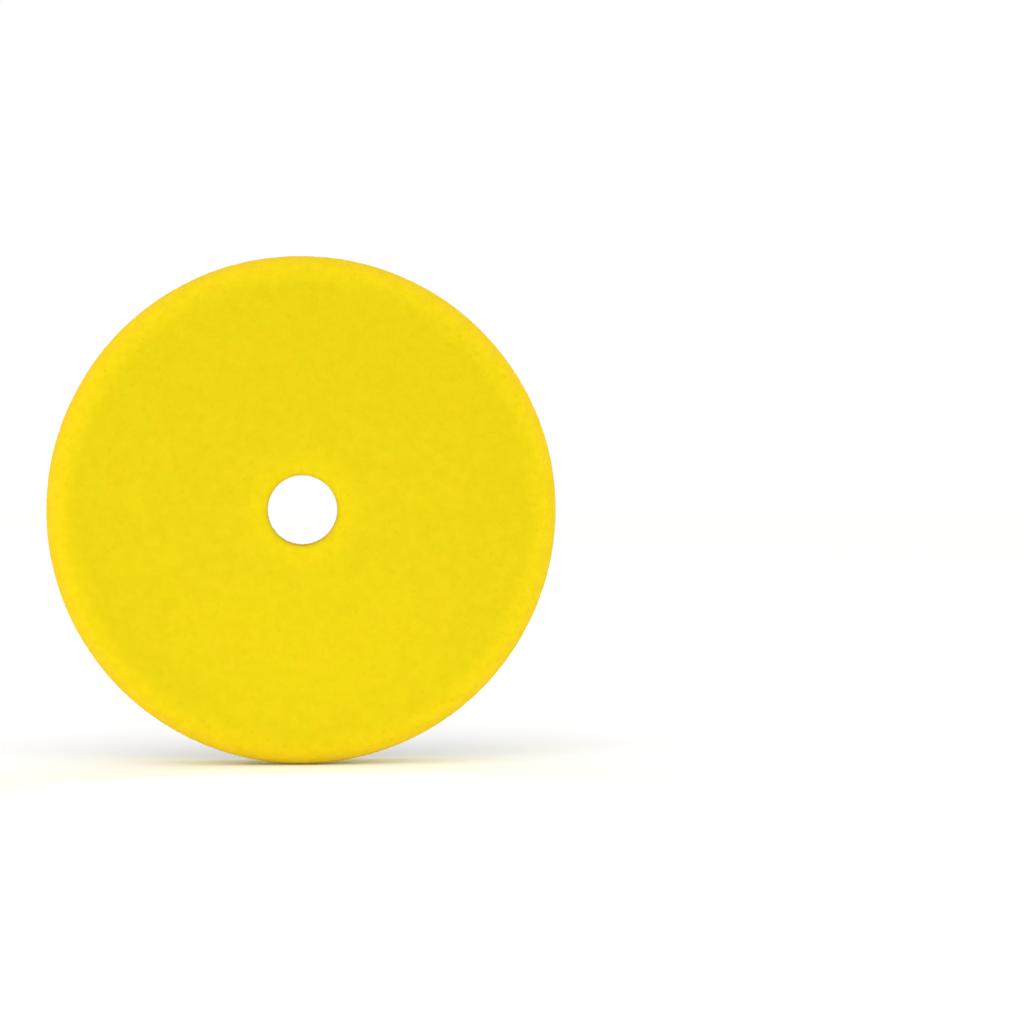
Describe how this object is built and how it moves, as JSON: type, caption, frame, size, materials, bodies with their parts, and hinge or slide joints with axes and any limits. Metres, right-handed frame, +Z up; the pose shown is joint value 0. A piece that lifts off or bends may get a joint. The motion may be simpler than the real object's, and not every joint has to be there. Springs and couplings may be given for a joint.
{
  "type": "polishing pad",
  "caption": "Round foam polishing pad with a tapered side, a centre hole and a laminated loop-fabric back that grips a polisher's hook plate.",
  "frame": {"origin": "on the pad's axis, at the centre of the hole, in the plane of the loop tips where the backing plate sits", "axes": "+Y along the pad's axis, out of the loop side; the foam working face looks towards -Y; +Z up with the pad standing on its rim"},
  "size_m": [0.15, 0.0222, 0.15],
  "materials": {
    "yellow_foam": "matte",
    "clear_film": "satin",
    "black_knit": "matte",
    "black_loops": "matte"
  },
  "bodies": {
    "root": {"foam_disc": "yellow_foam", "bond_film": "clear_film", "fabric_ground": "black_knit", "loop_pile": "black_loops"}
  },
  "joints": []
}
